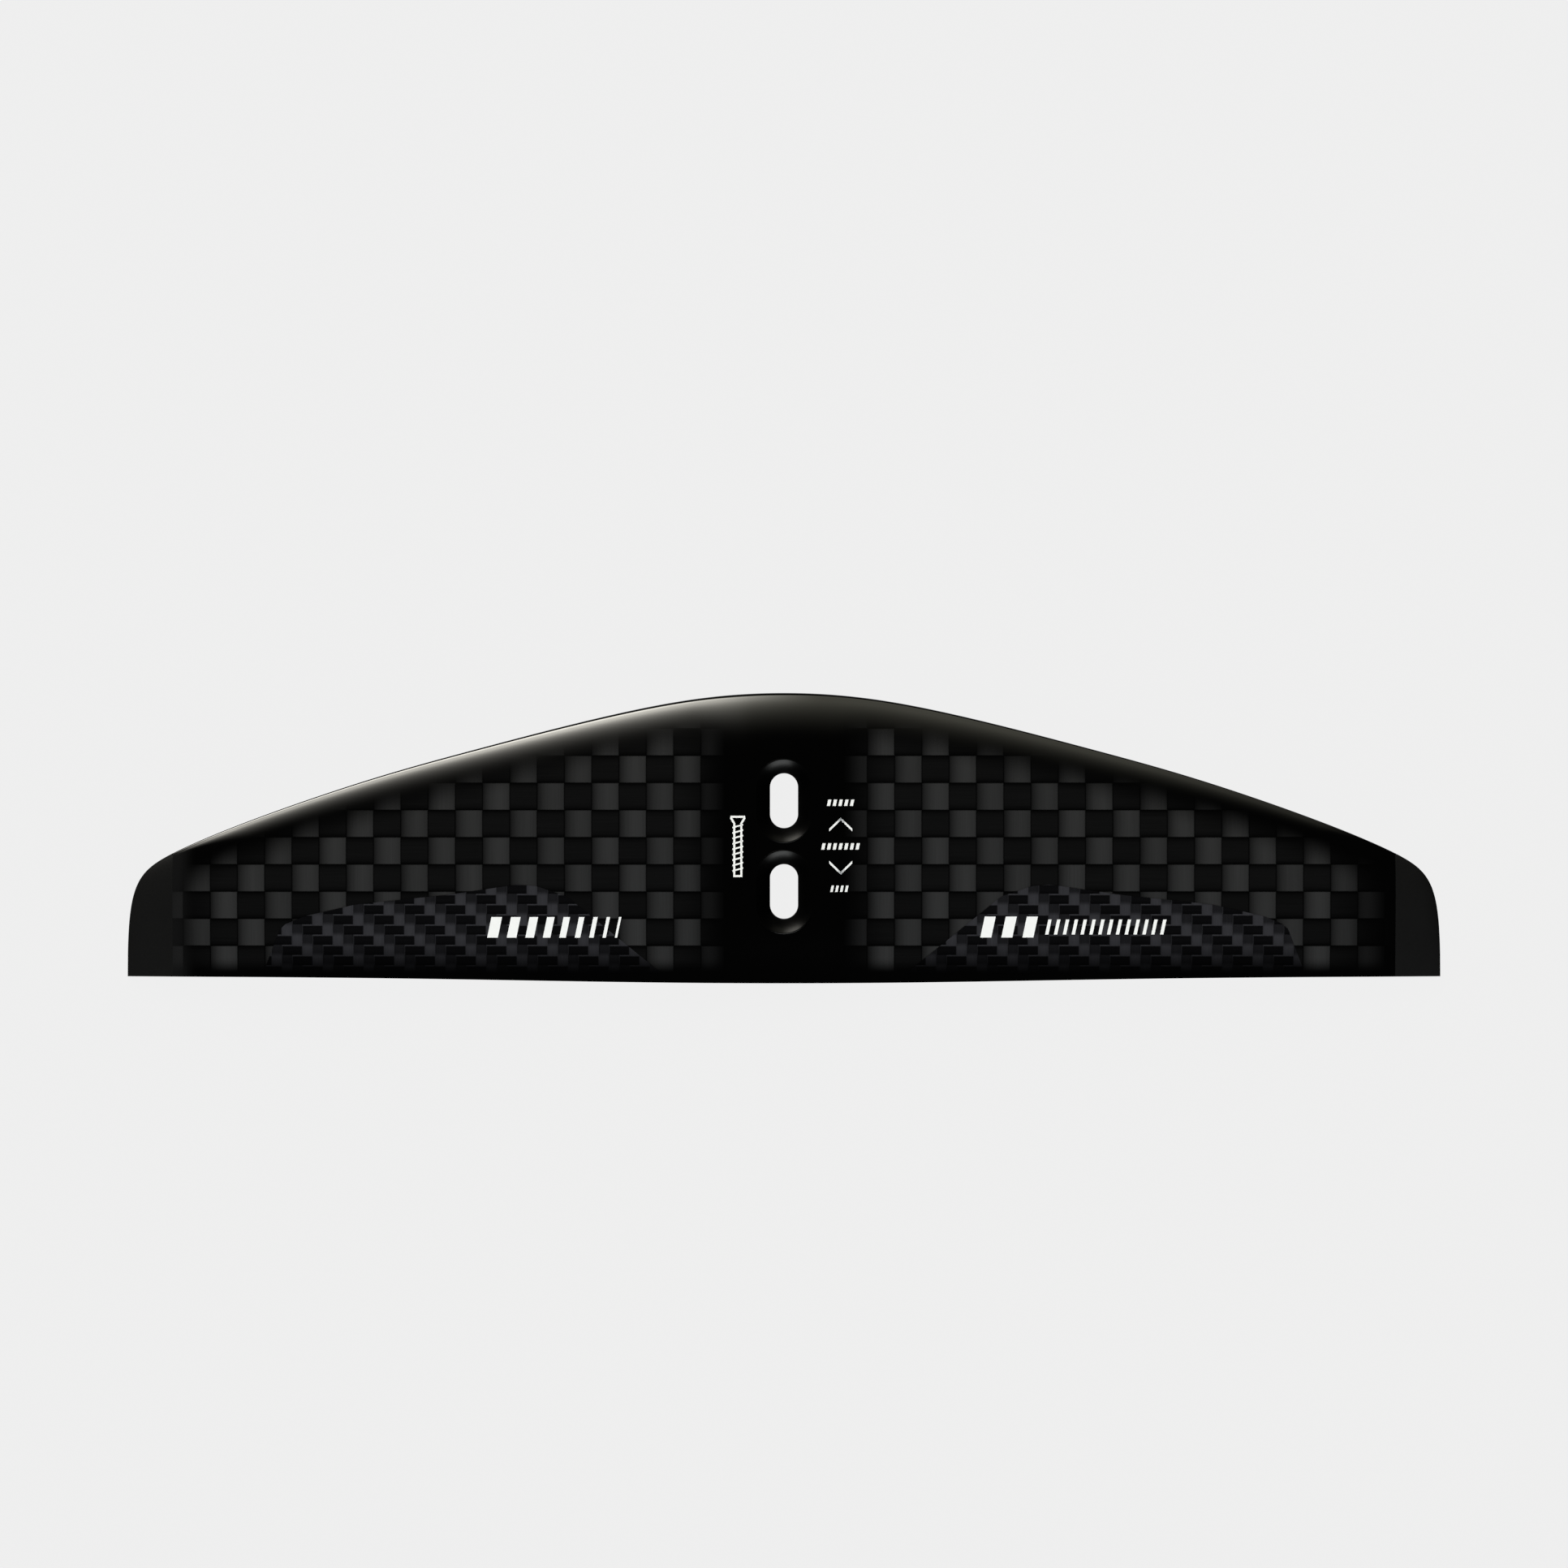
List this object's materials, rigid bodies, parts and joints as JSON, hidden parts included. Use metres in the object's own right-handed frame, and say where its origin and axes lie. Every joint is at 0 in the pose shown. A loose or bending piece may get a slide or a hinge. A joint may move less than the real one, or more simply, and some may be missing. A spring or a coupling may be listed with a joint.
{
  "type": "hydrofoil rear wing",
  "caption": "Swept, gently drooping carbon wing that bolts to the tail of a hydrofoil fuselage through fore-and-aft countersunk slots, with hollow moulded skins over a foam core.",
  "frame": {"origin": "midway between the two screw slots, on the flat seat that meets the fuselage", "axes": "+X to the right along the span, +Y forward to the leading edge, +Z out of the face that the screw heads sink into"},
  "size_m": [0.394, 0.087, 0.01],
  "materials": {
    "woven_skin": "clear gloss over plain carbon weave",
    "satin_tip": "satin",
    "twill_ply": "clear gloss over carbon twill",
    "black_ply": "gloss black",
    "liner": "satin black",
    "laminate": "ground laminate",
    "spar": "cured unidirectional carbon",
    "foam": "closed-cell foam"
  },
  "bodies": {
    "root": {"top_skin": "woven_skin", "bottom_skin": "woven_skin", "tip_left": "satin_tip", "tip_right": "satin_tip", "twill_patch_left": "twill_ply", "twill_patch_right": "twill_ply", "centre_doubler": "black_ply", "front_slot_liner": "liner", "rear_slot_liner": "liner", "seat_plate": "laminate", "root_block": "laminate", "spar_cap_top": "spar", "spar_cap_bottom": "spar", "leading_edge_roving": "spar", "trailing_edge_strip": "spar", "foam_core_left": "foam", "foam_core_right": "foam"}
  },
  "joints": []
}
